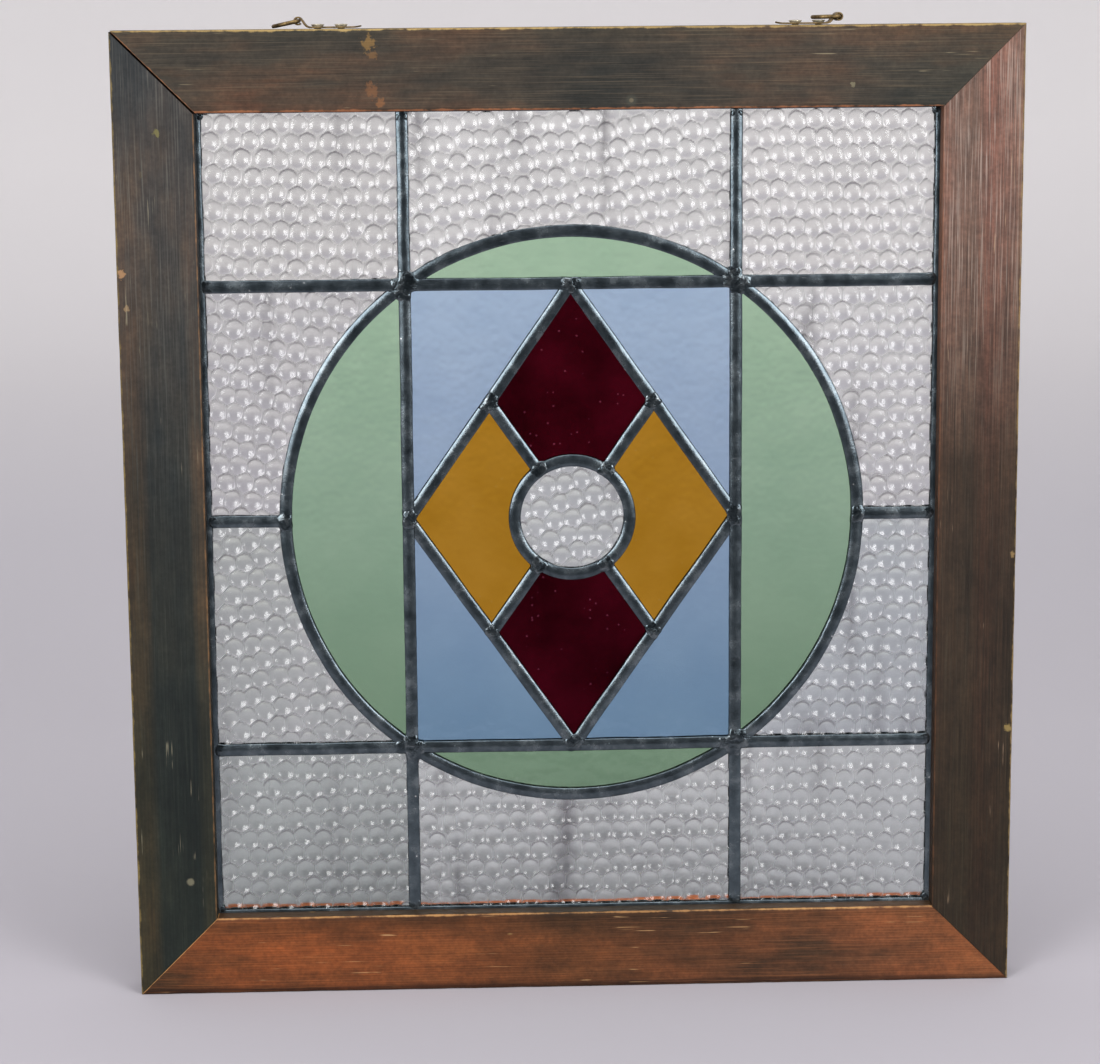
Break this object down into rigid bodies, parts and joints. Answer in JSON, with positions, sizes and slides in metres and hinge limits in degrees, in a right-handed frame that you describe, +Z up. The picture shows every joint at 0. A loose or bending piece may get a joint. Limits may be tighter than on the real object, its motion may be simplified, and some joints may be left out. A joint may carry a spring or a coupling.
{
  "type": "stained glass window",
  "caption": "Leaded glass panel with a circle, rectangle and diamond pattern in a mitred wooden frame, hung by swinging rings on its top edge.",
  "frame": {"origin": "middle of the top edge, halfway through the thickness of the frame, where the hangers hold it", "axes": "+Z up, +X to the right as seen from the front, +Y to the back, so the front looks along -Y"},
  "size_m": [0.508, 0.025, 0.5608],
  "materials": {
    "dark_wood": "weathered dark stain with worn edges",
    "warm_wood": "weathered orange-brown stain",
    "grey_wood": "weathered grey-brown with open grain",
    "lead": "dark patinated lead with worn highlights",
    "clear_glass": "clear hammered glass",
    "green_glass": "green cathedral glass",
    "blue_glass": "pale blue cathedral glass",
    "red_glass": "dark red cathedral glass",
    "amber_glass": "amber cathedral glass",
    "hanger_metal": "aged dull brown plating",
    "screw_metal": "aged brass plating worn to steel"
  },
  "bodies": {
    "window": {"top_rail": "dark_wood", "left_stile": "dark_wood", "bottom_rail": "warm_wood", "right_stile": "grey_wood", "border_came": "lead", "vertical_came_left": "lead", "vertical_came_right": "lead", "horizontal_came_top_left": "lead", "horizontal_came_top_center": "lead", "horizontal_came_top_right": "lead", "horizontal_came_bottom_left": "lead", "horizontal_came_bottom_center": "lead", "horizontal_came_bottom_right": "lead", "side_came_left": "lead", "side_came_right": "lead", "arc_came_top": "lead", "arc_came_bottom": "lead", "arc_came_left": "lead", "arc_came_right": "lead", "diamond_came_upper_left": "lead", "diamond_came_upper_right": "lead", "diamond_came_lower_left": "lead", "diamond_came_lower_right": "lead", "spoke_came_upper_left": "lead", "spoke_came_upper_right": "lead", "spoke_came_lower_left": "lead", "spoke_came_lower_right": "lead", "ring_came": "lead", "clear_pane_top_left": "clear_glass", "clear_pane_top_center": "clear_glass", "clear_pane_top_right": "clear_glass", "clear_pane_left_upper": "clear_glass", "clear_pane_left_lower": "clear_glass", "clear_pane_right_upper": "clear_glass", "clear_pane_right_lower": "clear_glass", "clear_pane_bottom_left": "clear_glass", "clear_pane_bottom_center": "clear_glass", "clear_pane_bottom_right": "clear_glass", "clear_pane_center": "clear_glass", "green_pane_top": "green_glass", "green_pane_bottom": "green_glass", "green_pane_left": "green_glass", "green_pane_right": "green_glass", "blue_pane_upper_left": "blue_glass", "blue_pane_upper_right": "blue_glass", "blue_pane_lower_left": "blue_glass", "blue_pane_lower_right": "blue_glass", "red_pane_upper": "red_glass", "red_pane_lower": "red_glass", "amber_pane_left": "amber_glass", "amber_pane_right": "amber_glass", "left_strap": "hanger_metal", "right_strap": "hanger_metal", "left_screw_inner": "screw_metal", "left_screw_outer": "screw_metal", "right_screw_inner": "screw_metal", "right_screw_outer": "screw_metal"},
    "left_hanging_ring": {"left_ring": "hanger_metal"},
    "right_hanging_ring": {"right_ring": "hanger_metal"}
  },
  "joints": [
    {"name": "left_ring_swing", "type": "hinge", "parent": "window", "child": "left_hanging_ring", "pos_m": [-0.15003, 0, 0.0043], "axis": [0, 1, 0], "range_deg": [0, 193]},
    {"name": "right_ring_swing", "type": "hinge", "parent": "window", "child": "right_hanging_ring", "pos_m": [0.15003, 0, 0.0043], "axis": [0, 1, 0], "range_deg": [0, 193]}
  ]
}
